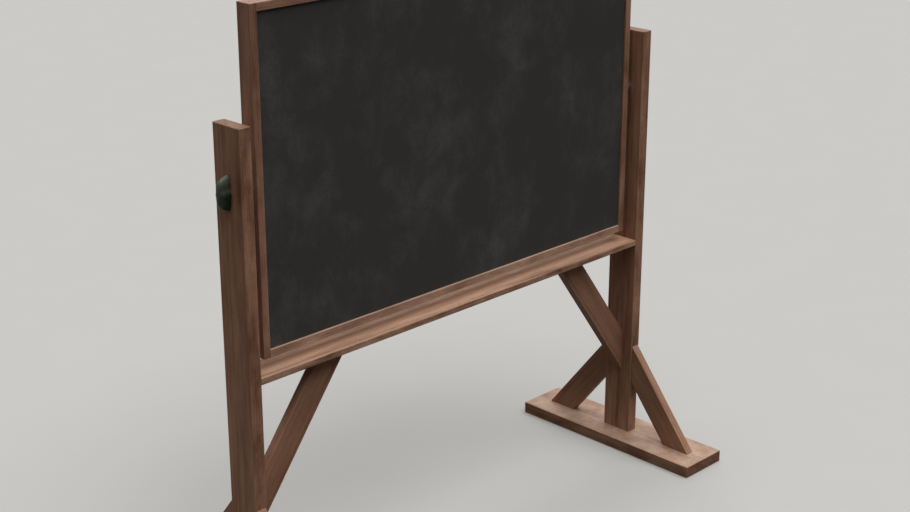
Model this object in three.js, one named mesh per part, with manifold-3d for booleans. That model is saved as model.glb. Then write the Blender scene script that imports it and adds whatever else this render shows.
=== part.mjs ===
import * as THREE from 'three';
import { mergeVertices } from 'three/addons/utils/BufferGeometryUtils.js';
import Module from 'manifold-3d';

// Free-standing revolving chalkboard: a two-sided board that turns on two pivot bolts between
// two braced posts, with a chalk shelf under it and a wing knob on each bolt.
// Units are millimetres. The origin is on the floor, midway between the posts.
// +X is to the right, +Y to the back and +Z up.

// Board
const boardWidth = 1248;
const boardHeight = 797;
const frameFace = 19;
const frameDepth = 44;
const frameEdge = 1.5;
const surfaceRecess = 5;
const sheetThickness = 4;
const sheetEdgeGap = 0.3;
const battenFace = 40;
const middleRailHeight = 60;
const pivotHeight = 1040;

// Posts
const sideGap = 28;
const postThickness = 32;
const postDepth = 90;
const postAbovePivot = 148;
const timberEdge = 2;

// Feet
const footLength = 600;
const footWidth = 150;
const footThickness = 32;

// Chalk shelf
const shelfDepth = 90;
const shelfThickness = 16;
const shelfClearance = 29;

// Braces: rise and reach are measured along the long edge of each brace
const braceWidth = 68;
const braceThickness = 24;
const braceEdge = 1.5;
const footBraceRise = 262;
const footBraceReach = 208;
const kneeBraceRise = 376;
const kneeBraceReach = 279;

// Pivot bolts, washers and spacer sleeves
const boltRadius = 5;
const boltHeadWidth = 16;
const boltHeadHeight = 6.4;
const boltTipChamfer = 1;
const boltEngagement = 16.5;
const boltPocketRadius = 11;
const boltPocketSpare = 1.6;
const sleeveRadius = 10;
const innerWasherRadius = 10;
const postWasherRadius = 12;
const washerThickness = 2;
const turningGap = 0.5;
const runningGap = 0.3;

// Wing knobs
const knobDepth = 27;
const knobHalfSpan = 41;
const knobOuterHalfSpan = 28;
const knobWingHalfWidth = 10.5;
const knobOuterWingHalfWidth = 8;
const knobHubRadius = 14;
const knobOuterHubRadius = 11.5;
const knobFillet = 4;
const knobBaseChamfer = 0.8;
const insertRadius = 8;
const insertLength = 16;
const blindHoleSpare = 2;

// Dowels and wood screws
const dowelRadius = 4;
const dowelChamfer = 1;
const dowelDepth = 25;
const postDowelDepth = 14;
const shelfDowelDepth = 10;
const footScrewRadius = 2.5;
const footScrewHeadRadius = 5;
const footScrewGrip = 36;
const footScrewRecess = 0.5;
const frameScrewRadius = 2;
const frameScrewHeadRadius = 4;
const frameScrewGrip = 26;
const frameScrewRecess = 0.2;
const screwTip = 6;
const fastenerGap = 0.3;

// Facets on round forms
const cornerSegments = 2;
const boltSides = 20;
const fastenerSides = 10;
const knobSides = 40;
const knobFilletSteps = 3;
const knobTaperSteps = 2;

// Places that follow from the sizes above
const halfBoard = boardWidth / 2;
const halfHeight = boardHeight / 2;
const halfDepth = frameDepth / 2;
const postInner = halfBoard + sideGap;
const postOuter = postInner + postThickness;
const postCentre = (postInner + postOuter) / 2;
const postTop = pivotHeight + postAbovePivot;
const swingRadius = Math.hypot(halfHeight, halfDepth);
const shelfTop = pivotHeight - swingRadius - shelfClearance;
const shelfBottom = shelfTop - shelfThickness;
const shelfMiddle = (shelfTop + shelfBottom) / 2;
const shelfFront = -postDepth / 2;
const frameInner = halfBoard - frameFace;
const battenInner = frameInner - battenFace;
const boardTop = pivotHeight + halfHeight;
const boardBottom = pivotHeight - halfHeight;
const openTop = boardTop - frameFace;
const openBottom = boardBottom + frameFace;
const surface = halfDepth - surfaceRecess;
const coreDepth = surface - sheetThickness;
const boltHeadSeat = battenInner - washerThickness;
const knobBase = postOuter + washerThickness + runningGap;
const boltTip = knobBase + boltEngagement;
const boltHole = boltRadius + fastenerGap;
const turningHole = boltRadius + turningGap;

const sides = [
  { name: 'left', sign: -1 },
  { name: 'right', sign: 1 },
];

const wasm = await Module();
wasm.setup();

// Materials, one for each mesh, in the colours of the photograph

function oiledPine() {
  return new THREE.MeshStandardMaterial({ color: '#a07e66', roughness: 0.62, metalness: 0 });
}

function barePine() {
  return new THREE.MeshStandardMaterial({ color: '#d2b48c', roughness: 0.8, metalness: 0 });
}

function beechDowel() {
  return new THREE.MeshStandardMaterial({ color: '#c9a67c', roughness: 0.7, metalness: 0 });
}

function chalkPaint() {
  return new THREE.MeshStandardMaterial({ color: '#343534', roughness: 0.92, metalness: 0 });
}

function zincSteel() {
  return new THREE.MeshStandardMaterial({ color: '#a9aaa6', roughness: 0.38, metalness: 1 });
}

function brass() {
  return new THREE.MeshStandardMaterial({ color: '#b8954a', roughness: 0.35, metalness: 1 });
}

function blackPlastic() {
  return new THREE.MeshStandardMaterial({ color: '#101412', roughness: 0.22, metalness: 0 });
}

// Closed meshes in and out of the solid library

function welded(geometry) {
  const plain = geometry.clone();
  plain.deleteAttribute('normal');
  plain.deleteAttribute('uv');
  return mergeVertices(plain, 1e-4);
}

function solidOf(geometry) {
  const closed = welded(geometry);
  const vertProperties = new Float32Array(closed.attributes.position.array);
  const triVerts = new Uint32Array(closed.index.array);
  return new wasm.Manifold(new wasm.Mesh({ numProp: 3, vertProperties, triVerts }));
}

function geometryOf(solid) {
  const { vertProperties, triVerts } = solid.getMesh();
  const geometry = new THREE.BufferGeometry();
  geometry.setAttribute('position', new THREE.BufferAttribute(vertProperties, 3));
  geometry.setIndex(new THREE.BufferAttribute(triVerts, 1));
  geometry.computeVertexNormals();
  return geometry;
}

function without(geometry, cutters) {
  let solid = solidOf(geometry);
  for (const cutter of cutters) {
    solid = solid.subtract(solidOf(cutter));
  }
  return geometryOf(solid);
}

// Turns a geometry so that its x and y directions point along two given directions

function turned(geometry, xTo, yTo) {
  const x = new THREE.Vector3(...xTo);
  const y = new THREE.Vector3(...yTo);
  const z = new THREE.Vector3().crossVectors(x, y);
  return geometry.applyMatrix4(new THREE.Matrix4().makeBasis(x, y, z));
}

// Stands a geometry made along +Y on a point, along a direction that is one of the axes

function along(geometry, direction, start) {
  const [dx, dy, dz] = direction;
  turned(geometry, [dy, dz, dx], direction);
  return geometry.translate(...start);
}

// A flat part made in a plane: its x and y follow two directions from a corner

function laidOut(geometry, xTo, yTo, corner) {
  return turned(geometry, xTo, yTo).translate(...corner);
}

function mesh(name, geometry, material, position = [0, 0, 0]) {
  const part = new THREE.Mesh(geometry, material);
  part.name = name;
  part.position.set(...position);
  return part;
}

// Timber with eased long edges, sawn to length along its grain

function roundedRectangle(width, height, radius) {
  const x = width / 2 - radius;
  const y = height / 2 - radius;
  const shape = new THREE.Shape();
  shape.absarc(x, y, radius, 0, Math.PI / 2);
  shape.absarc(-x, y, radius, Math.PI / 2, Math.PI);
  shape.absarc(-x, -y, radius, Math.PI, 1.5 * Math.PI);
  shape.absarc(x, -y, radius, 1.5 * Math.PI, 2 * Math.PI);
  return shape;
}

const grainDirections = {
  x: { xTo: [0, 1, 0], yTo: [0, 0, 1], across: ['y', 'z'] },
  y: { xTo: [0, 0, 1], yTo: [1, 0, 0], across: ['z', 'x'] },
  z: { xTo: [1, 0, 0], yTo: [0, 1, 0], across: ['x', 'y'] },
};

function sawn(size, grain, edge) {
  const { xTo, yTo, across } = grainDirections[grain];
  const endBevel = edge / 2;
  const depth = size[grain] - 2 * endBevel;
  const outline = roundedRectangle(size[across[0]], size[across[1]], edge);
  const geometry = new THREE.ExtrudeGeometry(outline, {
    depth,
    curveSegments: cornerSegments,
    bevelEnabled: true,
    bevelThickness: endBevel,
    bevelSize: endBevel,
    bevelOffset: -endBevel,
    bevelSegments: 1,
  });
  geometry.translate(0, 0, -depth / 2);
  return turned(geometry, xTo, yTo);
}

function timber(name, span, grain, edge, material, sockets = []) {
  const low = new THREE.Vector3(span.x[0], span.y[0], span.z[0]);
  const high = new THREE.Vector3(span.x[1], span.y[1], span.z[1]);
  const size = high.clone().sub(low);
  const centre = high.clone().add(low).multiplyScalar(0.5);
  let geometry = sawn(size, grain, edge);
  if (sockets.length > 0) {
    const moved = sockets.map((socket) => socket.clone().translate(-centre.x, -centre.y, -centre.z));
    geometry = without(geometry, moved);
  }
  return mesh(name, geometry, material, centre.toArray());
}

// A span on the outer side of a distance from the middle, for either side

function outward(sign, inner, outer) {
  return sign > 0 ? [inner, outer] : [-outer, -inner];
}

// Diagonal brace: mitred to lie flat on the post (local y axis) and on the shelf or foot (x axis)

function brace(rise, reach) {
  const slope = Math.atan2(rise, reach);
  const outline = new THREE.Shape();
  outline.moveTo(reach, 0);
  outline.lineTo(0, rise);
  outline.lineTo(0, rise - braceWidth / Math.cos(slope));
  outline.lineTo(reach - braceWidth / Math.sin(slope), 0);
  outline.closePath();
  const geometry = new THREE.ExtrudeGeometry(outline, {
    depth: braceThickness - 2 * braceEdge,
    bevelEnabled: true,
    bevelThickness: braceEdge,
    bevelSize: braceEdge,
    bevelOffset: -braceEdge,
    bevelSegments: 1,
  });
  return geometry.translate(0, 0, braceEdge - braceThickness / 2);
}

// Middle of a brace's seat on the post and on the shelf or foot

function braceSeats(rise, reach) {
  const slope = Math.atan2(rise, reach);
  return {
    onPost: rise - braceWidth / Math.cos(slope) / 2,
    onFlat: reach - braceWidth / Math.sin(slope) / 2,
  };
}

// Round parts, each made along +Y from a profile of radius and height

function lathed(profile, sidesAround) {
  const points = profile.map(([radius, height]) => new THREE.Vector2(radius, height));
  return welded(new THREE.LatheGeometry(points, sidesAround));
}

function rod(radius, length, sidesAround, chamfer) {
  return lathed([
    [0, 0],
    [radius - chamfer, 0],
    [radius, chamfer],
    [radius, length - chamfer],
    [radius - chamfer, length],
    [0, length],
  ], sidesAround);
}

function drill(radius, length, sidesAround) {
  return lathed([[0, 0], [radius, 0], [radius, length], [0, length]], sidesAround);
}

function ring(innerRadius, outerRadius, length) {
  return lathed([
    [innerRadius, 0],
    [outerRadius, 0],
    [outerRadius, length],
    [innerRadius, length],
    [innerRadius, 0],
  ], boltSides);
}

function woodScrew(radius, headRadius, length) {
  return lathed([
    [0, 0],
    [headRadius, 0],
    [radius, headRadius - radius],
    [radius, length - screwTip],
    [0, length],
  ], fastenerSides);
}

function screwSocket(radius, headRadius, length, recess) {
  return lathed([
    [0, -2 * recess],
    [headRadius + fastenerGap, -2 * recess],
    [headRadius + fastenerGap, 0],
    [radius + fastenerGap, headRadius - radius],
    [radius + fastenerGap, length + fastenerGap],
    [0, length + fastenerGap],
  ], fastenerSides);
}

// Fasteners: each gives its own solid and the socket that is cut for it

function dowel(name, direction, seat, depthBefore, depthAfter) {
  const length = depthBefore + depthAfter;
  const start = seat.map((value, axis) => value - direction[axis] * depthBefore);
  const socketStart = start.map((value, axis) => value - direction[axis] * fastenerGap);
  const socket = drill(dowelRadius + fastenerGap, length + 2 * fastenerGap, fastenerSides);
  return {
    name,
    body: along(rod(dowelRadius, length, fastenerSides, dowelChamfer), direction, start),
    socket: along(socket, direction, socketStart),
  };
}

function screw(name, direction, face, radius, headRadius, length, recess) {
  const start = face.map((value, axis) => value + direction[axis] * recess);
  return {
    name,
    body: along(woodScrew(radius, headRadius, length), direction, start),
    socket: along(screwSocket(radius, headRadius, length, recess), direction, start),
  };
}

function standDowels({ name, sign }) {
  const foot = braceSeats(footBraceRise, footBraceReach);
  const knee = braceSeats(kneeBraceRise, kneeBraceReach);
  const outwards = [sign, 0, 0];
  const seats = [
    ['front_brace', [0, 1, 0], [sign * postCentre, -postDepth / 2, footThickness + foot.onPost]],
    ['back_brace', [0, -1, 0], [sign * postCentre, postDepth / 2, footThickness + foot.onPost]],
    ['knee_post', outwards, [sign * postInner, 0, shelfBottom - knee.onPost]],
    ['shelf_front', outwards, [sign * postInner, -shelfDepth / 4, shelfMiddle]],
    ['shelf_back', outwards, [sign * postInner, shelfDepth / 4, shelfMiddle]],
  ];
  const kneeTop = [sign * (postInner - knee.onFlat), 0, shelfBottom];
  return [
    ...seats.map(([place, direction, seat]) => (
      dowel(`${name}_${place}_dowel`, direction, seat, dowelDepth, postDowelDepth)
    )),
    dowel(`${name}_knee_shelf_dowel`, [0, 0, 1], kneeTop, dowelDepth, shelfDowelDepth),
  ];
}

function footScrews({ name, sign }) {
  const underBrace = postDepth / 2 + braceSeats(footBraceRise, footBraceReach).onFlat;
  const length = footThickness + footScrewGrip;
  const places = [
    ['front_brace', -underBrace],
    ['post_front', -postDepth / 4],
    ['post_back', postDepth / 4],
    ['back_brace', underBrace],
  ];
  return places.map(([place, y]) => screw(
    `${name}_${place}_screw`,
    [0, 0, 1],
    [sign * postCentre, y, 0],
    footScrewRadius,
    footScrewHeadRadius,
    length,
    footScrewRecess,
  ));
}

function frameScrews({ name, sign }) {
  const cornerHeight = halfHeight - frameFace / 2;
  return [['bottom', -cornerHeight], ['top', cornerHeight]].map(([place, height]) => screw(
    `${name}_${place}_frame_screw`,
    [-sign, 0, 0],
    [sign * halfBoard, 0, pivotHeight + height],
    frameScrewRadius,
    frameScrewHeadRadius,
    frameFace + frameScrewGrip,
    frameScrewRecess,
  ));
}

function fastenerMeshes(fasteners, material) {
  return fasteners.map(({ name, body }) => mesh(name, body, material()));
}

// One end of the stand: foot, post, two foot braces and a knee brace

function standEnd(side) {
  const { name, sign } = side;
  const dowels = standDowels(side);
  const screws = footScrews(side);
  const sockets = [...dowels, ...screws].map((fastener) => fastener.socket);
  const pivotHole = drill(turningHole, 2 * postThickness, boltSides);
  along(pivotHole, [sign, 0, 0], [sign * (postInner - postThickness / 2), 0, pivotHeight]);

  const foot = timber(`${name}_foot`, {
    x: [sign * postCentre - footWidth / 2, sign * postCentre + footWidth / 2],
    y: [-footLength / 2, footLength / 2],
    z: [0, footThickness],
  }, 'y', timberEdge, oiledPine(), sockets);

  const post = timber(`${name}_post`, {
    x: outward(sign, postInner, postOuter),
    y: [-postDepth / 2, postDepth / 2],
    z: [footThickness, postTop],
  }, 'z', timberEdge, oiledPine(), [...sockets, pivotHole]);

  const braces = [['front', -1], ['back', 1]].map(([place, direction]) => {
    const corner = [sign * postCentre, direction * postDepth / 2, footThickness];
    const blank = laidOut(brace(footBraceRise, footBraceReach), [0, direction, 0], [0, 0, 1], corner);
    return mesh(`${name}_${place}_brace`, without(blank, sockets), oiledPine());
  });

  const kneeCorner = [sign * postInner, 0, shelfBottom];
  const kneeBlank = brace(kneeBraceRise, kneeBraceReach);
  laidOut(kneeBlank, [-sign, 0, 0], [0, 0, -1], kneeCorner);
  const knee = mesh(`${name}_knee_brace`, without(kneeBlank, sockets), oiledPine());

  const washer = along(ring(turningHole, postWasherRadius, washerThickness), [sign, 0, 0], [0, 0, 0]);
  const washerPlace = [sign * postOuter, 0, pivotHeight];

  const end = new THREE.Group();
  end.add(foot, post, ...braces, knee);
  end.add(...fastenerMeshes(dowels, beechDowel), ...fastenerMeshes(screws, zincSteel));
  end.add(mesh(`${name}_post_washer`, washer, zincSteel(), washerPlace));
  return end;
}

// Chalk shelf between the posts, its front edge level with their fronts

function chalkShelf() {
  const sockets = sides.flatMap(standDowels).map((fastener) => fastener.socket);
  return timber('chalk_shelf', {
    x: [-postInner, postInner],
    y: [shelfFront, shelfFront + shelfDepth],
    z: [shelfBottom, shelfTop],
  }, 'x', timberEdge, oiledPine(), sockets);
}

// Frame of the board: stiles run the full height and the rails butt between them

function boardFrame() {
  const frame = new THREE.Group();
  const depth = [-halfDepth, halfDepth];
  const screws = sides.flatMap(frameScrews);
  const sockets = screws.map((fastener) => fastener.socket);
  for (const { name, sign } of sides) {
    const pivotHole = drill(boltHole, 2 * frameFace, boltSides);
    along(pivotHole, [sign, 0, 0], [sign * (frameInner - frameFace / 2), 0, pivotHeight]);
    frame.add(timber(`${name}_stile`, {
      x: outward(sign, frameInner, halfBoard),
      y: depth,
      z: [boardBottom, boardTop],
    }, 'z', frameEdge, oiledPine(), [...sockets, pivotHole]));
  }
  const rails = [['bottom_rail', boardBottom, openBottom], ['top_rail', openTop, boardTop]];
  for (const [name, low, high] of rails) {
    const span = { x: [-frameInner, frameInner], y: depth, z: [low, high] };
    frame.add(timber(name, span, 'x', frameEdge, oiledPine(), sockets));
  }
  frame.add(...fastenerMeshes(screws, zincSteel));
  return frame;
}

// Hollow core: battens round the edge and a middle rail between the two pivot bolts

function boardCore() {
  const core = new THREE.Group();
  const depth = [-coreDepth, coreDepth];
  const pockets = [];
  for (const { name, sign } of sides) {
    const pivotHole = drill(boltHole, 2 * battenFace, boltSides);
    along(pivotHole, [sign, 0, 0], [sign * (battenInner - battenFace / 2), 0, pivotHeight]);
    core.add(timber(`core_${name}_batten`, {
      x: outward(sign, battenInner, frameInner),
      y: depth,
      z: [openBottom + battenFace, openTop - battenFace],
    }, 'z', frameEdge, barePine(), [pivotHole]));
    const pocketDepth = washerThickness + boltHeadHeight + boltPocketSpare;
    const pocket = drill(boltPocketRadius, 2 * pocketDepth, boltSides);
    pockets.push(along(pocket, [sign, 0, 0], [sign * (battenInner - pocketDepth), 0, pivotHeight]));
  }
  const long = [['bottom', openBottom, openBottom + battenFace], ['top', openTop - battenFace, openTop]];
  for (const [name, low, high] of long) {
    const span = { x: [-frameInner, frameInner], y: depth, z: [low, high] };
    core.add(timber(`core_${name}_batten`, span, 'x', frameEdge, barePine()));
  }
  core.add(timber('core_middle_rail', {
    x: [-battenInner, battenInner],
    y: depth,
    z: [pivotHeight - middleRailHeight / 2, pivotHeight + middleRailHeight / 2],
  }, 'x', frameEdge, barePine(), pockets));
  return core;
}

// Writing sheets, one on each face of the core, set back inside the frame

function writingSheets() {
  const sheets = new THREE.Group();
  const width = 2 * (frameInner - sheetEdgeGap);
  const height = openTop - openBottom - 2 * sheetEdgeGap;
  for (const [name, direction] of [['front', -1], ['back', 1]]) {
    const place = [0, direction * (surface - sheetThickness / 2), pivotHeight];
    const sheet = new THREE.BoxGeometry(width, sheetThickness, height);
    sheets.add(mesh(`${name}_writing_sheet`, welded(sheet), chalkPaint(), place));
  }
  return sheets;
}

// Pivot bolt with its hexagon head, made along +Y from the seat of the head

function pivotBolt() {
  const length = boltTip - boltHeadSeat;
  const headMiddle = -boltHeadHeight / 2;
  const headRadius = boltHeadWidth / 2 / Math.cos(Math.PI / 6);
  const head = new THREE.CylinderGeometry(headRadius, headRadius, boltHeadHeight, 6);
  head.translate(0, headMiddle, 0);
  const shank = lathed([
    [0, headMiddle],
    [boltRadius, headMiddle],
    [boltRadius, length - boltTipChamfer],
    [boltRadius - boltTipChamfer, length],
    [0, length],
  ], boltSides);
  return geometryOf(solidOf(head).add(solidOf(shank)));
}

// Bolt, inner washer and spacer sleeve, which turn with the board

function pivotSet({ name, sign }) {
  const set = new THREE.Group();
  const outwards = [sign, 0, 0];
  set.position.set(0, 0, pivotHeight);
  const bolt = along(pivotBolt(), outwards, [0, 0, 0]);
  const washer = along(ring(boltHole, innerWasherRadius, washerThickness), outwards, [0, 0, 0]);
  const sleeve = along(ring(boltHole, sleeveRadius, sideGap - runningGap), outwards, [0, 0, 0]);
  set.add(mesh(`${name}_pivot_bolt`, bolt, zincSteel(), [sign * boltHeadSeat, 0, 0]));
  set.add(mesh(`${name}_bolt_washer`, washer, zincSteel(), [sign * boltHeadSeat, 0, 0]));
  set.add(mesh(`${name}_spacer_sleeve`, sleeve, zincSteel(), [sign * halfBoard, 0, 0]));
  return set;
}

// Wing knob: two blunt wings and a round hub in one moulding that tapers away from the post

function knobSection(height, halfSpan, wingHalfWidth, hubRadius) {
  const points = [];
  for (let step = 0; step < knobSides; step += 1) {
    const angle = (2 * Math.PI * step) / knobSides;
    const across = halfSpan * Math.cos(angle);
    const wing = wingHalfWidth * Math.sqrt(Math.max(0, 1 - (across / halfSpan) ** 4));
    const hub = Math.sqrt(Math.max(0, hubRadius ** 2 - across ** 2));
    points.push(across, height, -Math.sign(Math.sin(angle)) * Math.max(wing, hub));
  }
  return points;
}

function knobStations() {
  const stations = [{ height: 0, inset: knobBaseChamfer }, { height: knobBaseChamfer, inset: 0 }];
  const shoulder = knobDepth - knobFillet;
  for (let step = 1; step <= knobTaperSteps; step += 1) {
    const share = step / knobTaperSteps;
    stations.push({ height: knobBaseChamfer + share * (shoulder - knobBaseChamfer), inset: 0 });
  }
  for (let step = 1; step <= knobFilletSteps; step += 1) {
    const angle = (step / knobFilletSteps) * Math.PI / 2;
    const height = shoulder + knobFillet * Math.sin(angle);
    stations.push({ height, inset: knobFillet * (1 - Math.cos(angle)) });
  }
  return stations;
}

function knobMoulding() {
  const stations = knobStations();
  const positions = stations.flatMap(({ height, inset }) => {
    const share = height / knobDepth;
    return knobSection(
      height,
      THREE.MathUtils.lerp(knobHalfSpan, knobOuterHalfSpan, share) - inset,
      THREE.MathUtils.lerp(knobWingHalfWidth, knobOuterWingHalfWidth, share) - inset,
      THREE.MathUtils.lerp(knobHubRadius, knobOuterHubRadius, share) - inset,
    );
  });
  const index = [];
  for (let level = 0; level + 1 < stations.length; level += 1) {
    for (let step = 0; step < knobSides; step += 1) {
      const next = (step + 1) % knobSides;
      const low = level * knobSides;
      const high = low + knobSides;
      index.push(low + step, low + next, high + step, low + next, high + next, high + step);
    }
  }
  const top = (stations.length - 1) * knobSides;
  const baseCentre = stations.length * knobSides;
  positions.push(0, 0, 0, 0, knobDepth, 0);
  for (let step = 0; step < knobSides; step += 1) {
    const next = (step + 1) % knobSides;
    index.push(baseCentre, next, step, baseCentre + 1, top + step, top + next);
  }
  const geometry = new THREE.BufferGeometry();
  geometry.setAttribute('position', new THREE.Float32BufferAttribute(positions, 3));
  geometry.setIndex(index);
  geometry.computeVertexNormals();
  return geometry;
}

function wingKnob({ name, sign }) {
  const knob = new THREE.Group();
  const outwards = [sign, 0, 0];
  knob.position.set(sign * knobBase, 0, pivotHeight);
  const pocket = drill(insertRadius + fastenerGap, 2 * (insertLength + fastenerGap), boltSides);
  pocket.translate(0, -insertLength - fastenerGap, 0);
  const blindHole = drill(turningHole, boltEngagement + blindHoleSpare, boltSides);
  const grip = along(without(knobMoulding(), [pocket, blindHole]), outwards, [0, 0, 0]);
  const insert = along(ring(turningHole, insertRadius, insertLength), outwards, [0, 0, 0]);
  knob.add(mesh(`${name}_knob_grip`, grip, blackPlastic()));
  knob.add(mesh(`${name}_knob_insert`, insert, brass()));
  return knob;
}

const chalkboard = new THREE.Group();
chalkboard.name = 'chalkboard';
chalkboard.add(...sides.map(standEnd), chalkShelf());
chalkboard.add(boardFrame(), boardCore(), writingSheets());
chalkboard.add(...sides.map(pivotSet), ...sides.map(wingKnob));

export default chalkboard;
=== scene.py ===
"""Finishes for a revolving chalkboard on a braced timber stand.

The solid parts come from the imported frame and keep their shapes. This file gives them their timber,
paint and metal, and makes the turned, moulded and threaded parts that need a finer surface.
"""

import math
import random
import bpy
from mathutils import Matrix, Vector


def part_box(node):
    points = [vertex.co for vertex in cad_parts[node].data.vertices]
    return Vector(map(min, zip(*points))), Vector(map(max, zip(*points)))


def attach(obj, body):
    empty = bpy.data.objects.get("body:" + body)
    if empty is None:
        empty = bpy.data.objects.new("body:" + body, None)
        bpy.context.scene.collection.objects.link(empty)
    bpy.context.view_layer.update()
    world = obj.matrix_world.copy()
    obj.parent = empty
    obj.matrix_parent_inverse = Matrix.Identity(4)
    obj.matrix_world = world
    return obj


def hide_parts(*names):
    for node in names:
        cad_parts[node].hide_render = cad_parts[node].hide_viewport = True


bl_info = {
    "name": "Revolving Chalkboard Finishes",
    "version": (1, 0, 0),
    "blender": (4, 5, 0),
    "location": "View3D > Sidebar > Chalkboard",
    "description": "Timber, slate paint, wing knobs, screws and studio for a revolving chalkboard",
    "category": "Object",
}

from collections import namedtuple

import bmesh
import bpy
from mathutils import Matrix, Vector

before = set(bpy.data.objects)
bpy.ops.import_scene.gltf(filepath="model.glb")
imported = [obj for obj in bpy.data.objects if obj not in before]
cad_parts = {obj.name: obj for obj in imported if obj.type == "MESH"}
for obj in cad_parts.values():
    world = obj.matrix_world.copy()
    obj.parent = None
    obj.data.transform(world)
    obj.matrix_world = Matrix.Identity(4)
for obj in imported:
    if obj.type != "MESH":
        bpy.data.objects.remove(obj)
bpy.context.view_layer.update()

SIDES = ("left", "right")
OUTWARDS = {"left": -1, "right": 1}

# Input places of the colour Mix node, whose inputs share their names
FACTOR = 0
FIRST = 6
SECOND = 7
# And those of the Random Value node, for a decimal number
LEAST = 2
MOST = 3
# The range that nearly all of a noise lies in
NOISE = {"From Min": 0.3, "From Max": 0.7}
SMOOTH = {"interpolation_type": "SMOOTHSTEP"}


def shade(code):
    """An sRGB hex value as the linear colour that Blender's sockets take."""
    parts = [int(code[place:place + 2], 16) / 255 for place in (1, 3, 5)]
    linear = [part / 12.92 if part <= 0.04045 else ((part + 0.055) / 1.055) ** 2.4 for part in parts]
    return (*linear, 1.0)


def add(tree, kind, inputs=None, **settings):
    """Adds a node with its settings, and fills its inputs with plain values or with links.

    A node given as an input is linked from the first of its outputs that is in use.
    """
    node = tree.nodes.new(kind)
    for name, value in settings.items():
        setattr(node, name, value)
    for key, value in (inputs or {}).items():
        if isinstance(value, bpy.types.Node):
            value = next(output for output in value.outputs if output.enabled)
        if isinstance(value, bpy.types.NodeSocket):
            tree.links.new(value, node.inputs[key])
        else:
            node.inputs[key].default_value = value
    return node


def new_material(name):
    """An empty node material, with its tree and the coordinates of a point on it."""
    material = bpy.data.materials.new(name)
    material.use_nodes = True
    tree = material.node_tree
    tree.nodes.clear()
    return material, tree, add(tree, "ShaderNodeTexCoord").outputs


def give_surface(tree, inputs, relief=None, strength=0, depth=0):
    """Ends a material with its surface, and gives it the pattern of its relief."""
    if relief:
        bump = add(tree, "ShaderNodeBump", {"Strength": strength, "Distance": depth, "Height": relief})
        inputs = {**inputs, "Normal": bump}
    surface = add(tree, "ShaderNodeBsdfPrincipled", inputs)
    add(tree, "ShaderNodeOutputMaterial", {"Surface": surface})


def rubbed_edges(tree, reach, flat, sharp, amount):
    """How much an edge is rubbed, found where a rounded normal leaves the flat one."""
    shape = add(tree, "ShaderNodeNewGeometry")
    rounded = add(tree, "ShaderNodeBevel", {"Radius": reach}, samples=4)
    flatness = add(
        tree, "ShaderNodeVectorMath", {0: shape.outputs["Normal"], 1: rounded}, operation="DOT_PRODUCT")
    return add(tree, "ShaderNodeMapRange",
               {"Value": flatness, "From Min": flat, "From Max": sharp, "To Max": amount})


def new_object(name, data):
    """An object in the scene, made of a mesh, a lamp or a camera."""
    made = bpy.data.objects.new(name, data)
    bpy.context.scene.collection.objects.link(made)
    return made


def dress(names, material):
    """Gives the named frame nodes their material."""
    for name in names:
        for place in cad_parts[name].material_slots:
            place.material = material


# Sizes and colours that a user may change

def colour_setting(name, description, code):
    """A colour that a user may change, given as its sRGB hex value."""
    return bpy.props.FloatVectorProperty(
        name=name, description=description, subtype="COLOR", size=4, min=0, max=1, default=shade(code))


def length_setting(name, description, metres):
    """A length that a user may change."""
    return bpy.props.FloatProperty(
        name=name, description=description, subtype="DISTANCE", unit="LENGTH", min=0.0001, default=metres)


def share_setting(name, description, share):
    """A share between nothing and all that a user may change."""
    return bpy.props.FloatProperty(
        name=name, description=description, subtype="FACTOR", min=0, max=1, default=share)


class StandTimberSettings(bpy.types.PropertyGroup):
    """Pine of the stand, planed and oiled brown."""

    pale: colour_setting("Early wood", "Colour of the open, quickly grown wood", "#B68A70")
    dark: colour_setting("Late wood", "Colour of the dense dark lines", "#5E3822")
    # The shelf's early wood is painted paler, as painted light for the light that the board above keeps
    # off it
    shelf: colour_setting("Shelf early wood", "Colour of the shelf's open wood, rubbed paler", "#D9AD91")
    ring: length_setting("Ring width", "Growth in one year", 0.0075)
    heart: length_setting(
        "Distance to the heart", "From the middle of a piece to the middle of its tree", 0.085)
    roughness: share_setting("Roughness", "Satin oil on planed wood", 0.55)


class FrameTimberSettings(bpy.types.PropertyGroup):
    """Pine of the board's frame, planed and oiled brown."""

    pale: colour_setting("Early wood", "Colour of the open, quickly grown wood", "#B78B74")
    dark: colour_setting("Late wood", "Colour of the dense dark lines", "#5E3822")
    # The bottom rail is paled by chalk dust and by painted light, for the light that the shelf throws up
    # onto it
    dusty_lit_pale: colour_setting("Bottom rail early wood", "Its open wood, paled by chalk dust", "#DCB298")
    dusty_lit_dark: colour_setting("Bottom rail late wood", "Its dark lines, paled by chalk dust", "#7A5540")
    ring: length_setting("Ring width", "Growth in one year", 0.006)
    heart: length_setting(
        "Distance to the heart", "From the middle of a piece to the middle of its tree", 0.11)
    roughness: share_setting("Roughness", "Satin oil on planed wood", 0.5)


class WritingFaceSettings(bpy.types.PropertyGroup):
    """Slate paint with the haze that an eraser leaves."""

    paint: colour_setting("Slate paint", "Colour of the clean paint", "#454341")
    haze: colour_setting("Chalk haze", "Colour of rubbed chalk", "#B9BCB6")
    haze_share: share_setting("Amount of haze", "Cover of chalk where it lies thickest", 0.115)
    cloud: length_setting("Patch size", "Across one rubbed patch", 0.075)


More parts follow.
